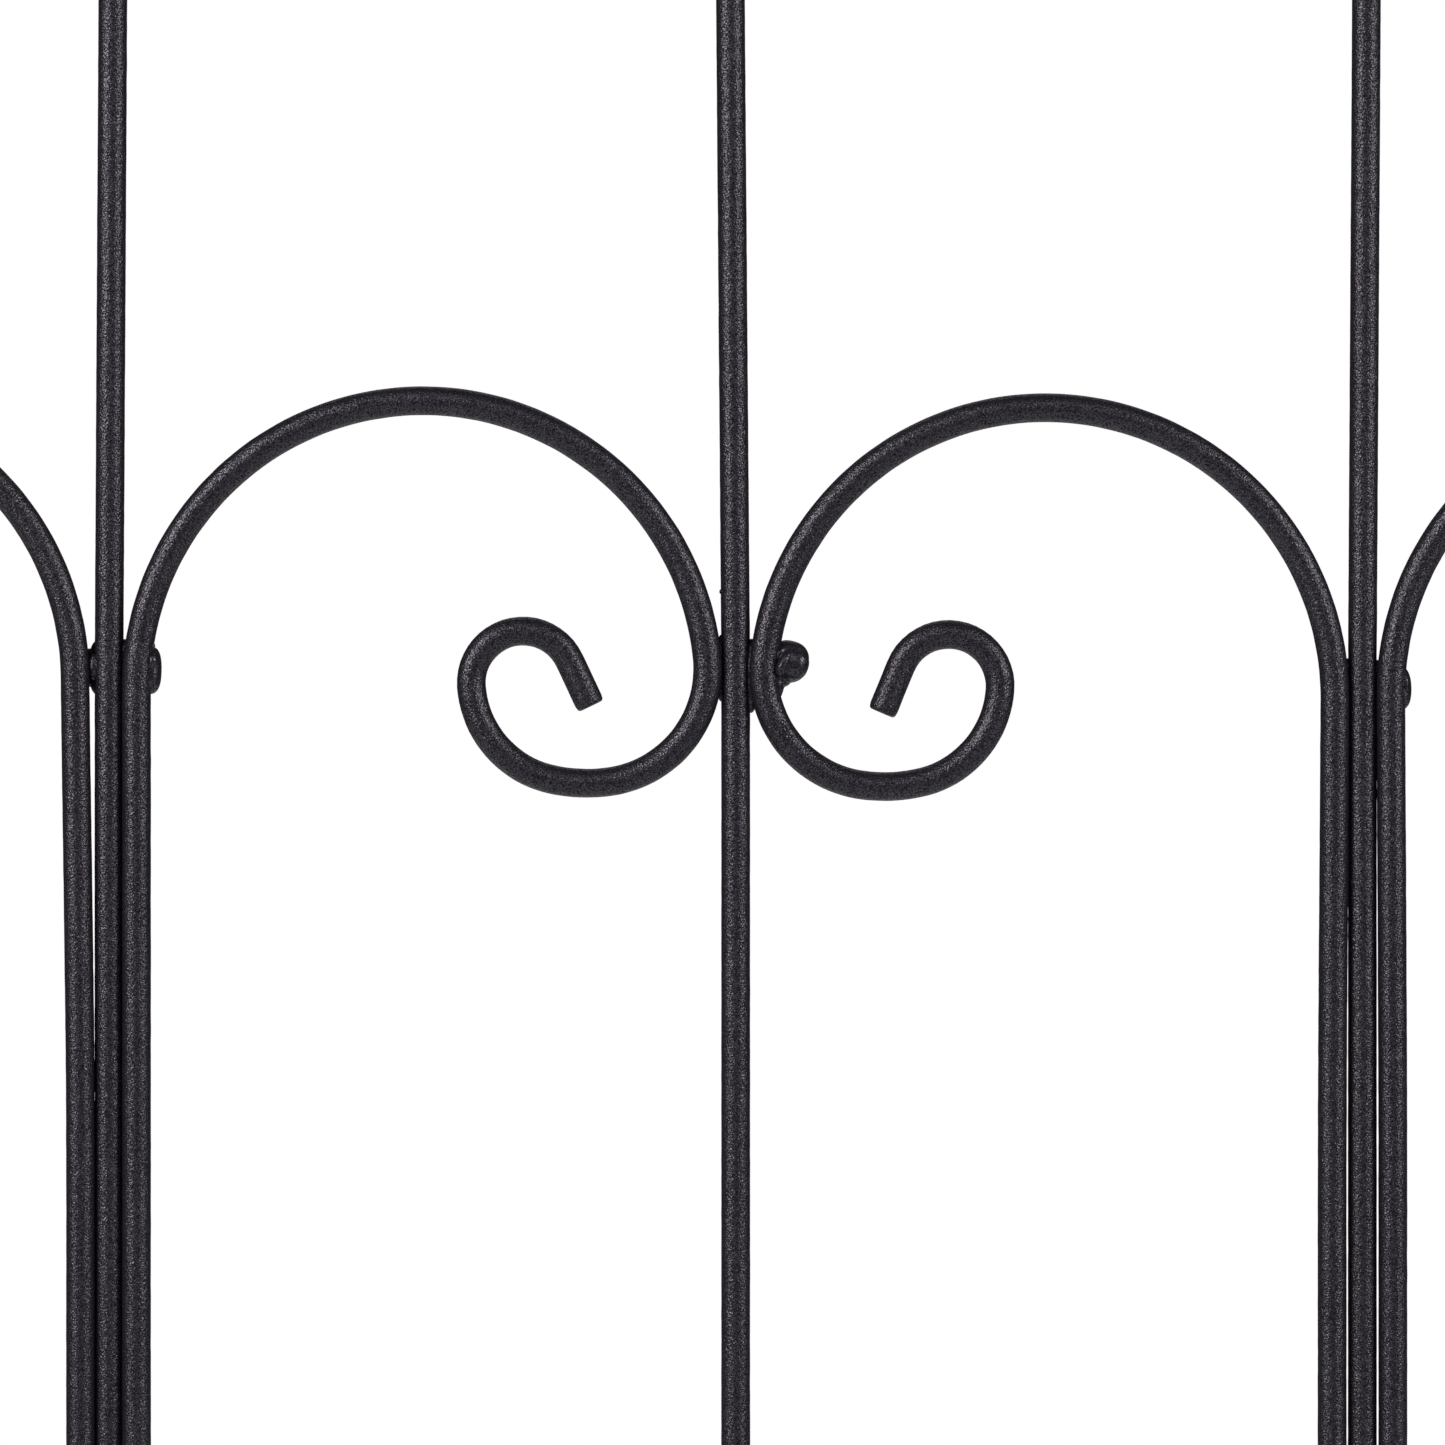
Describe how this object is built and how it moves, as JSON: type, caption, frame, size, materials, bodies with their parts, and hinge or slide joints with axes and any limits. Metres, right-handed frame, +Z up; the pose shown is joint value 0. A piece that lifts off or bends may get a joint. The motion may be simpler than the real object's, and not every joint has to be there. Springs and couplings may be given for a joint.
{
  "type": "arched garden trellis panel",
  "caption": "Flat garden trellis panel of welded black round bar, with an arched outer bar that ends in ground legs, straight uprights, rails across the back and pairs of scrolls.",
  "frame": {"origin": "on the soil line, midway between the two legs, in the plane of the arched outer bar", "axes": "+X to the right seen from the front, +Y through the panel to its back, where the rails and welds are, +Z up"},
  "size_m": [0.5106, 0.0137, 1.5053],
  "materials": {
    "black_powder_coat": "fine-textured satin black powder coat",
    "coated_weld": "the same coat over lumpy weld metal, a little smoother"
  },
  "bodies": {
    "root": {"arch_frame": "black_powder_coat", "left_upright": "black_powder_coat", "centre_upright": "black_powder_coat", "right_upright": "black_powder_coat", "outer_left_scroll_bar": "black_powder_coat", "inner_left_scroll_bar": "black_powder_coat", "inner_right_scroll_bar": "black_powder_coat", "outer_right_scroll_bar": "black_powder_coat", "bottom_rail": "black_powder_coat", "middle_rail": "black_powder_coat", "top_rail": "black_powder_coat", "upper_scroll_weld_left_post": "coated_weld", "upper_scroll_weld_left": "coated_weld", "upper_scroll_weld_centre": "coated_weld", "upper_scroll_weld_right": "coated_weld", "upper_scroll_weld_right_post": "coated_weld", "lower_scroll_weld_left_post": "coated_weld", "lower_scroll_weld_left": "coated_weld", "lower_scroll_weld_centre": "coated_weld", "lower_scroll_weld_right": "coated_weld", "lower_scroll_weld_right_post": "coated_weld", "bottom_rail_weld_left_post": "coated_weld", "bottom_rail_weld_left": "coated_weld", "bottom_rail_weld_centre": "coated_weld", "bottom_rail_weld_right": "coated_weld", "bottom_rail_weld_right_post": "coated_weld", "middle_rail_weld_left_post": "coated_weld", "middle_rail_weld_left": "coated_weld", "middle_rail_weld_centre": "coated_weld", "middle_rail_weld_right": "coated_weld", "middle_rail_weld_right_post": "coated_weld", "top_rail_weld_left_post": "coated_weld", "top_rail_weld_left": "coated_weld", "top_rail_weld_centre": "coated_weld", "top_rail_weld_right": "coated_weld", "top_rail_weld_right_post": "coated_weld", "arch_weld_left": "coated_weld", "arch_weld_centre": "coated_weld", "arch_weld_right": "coated_weld"}
  },
  "joints": []
}
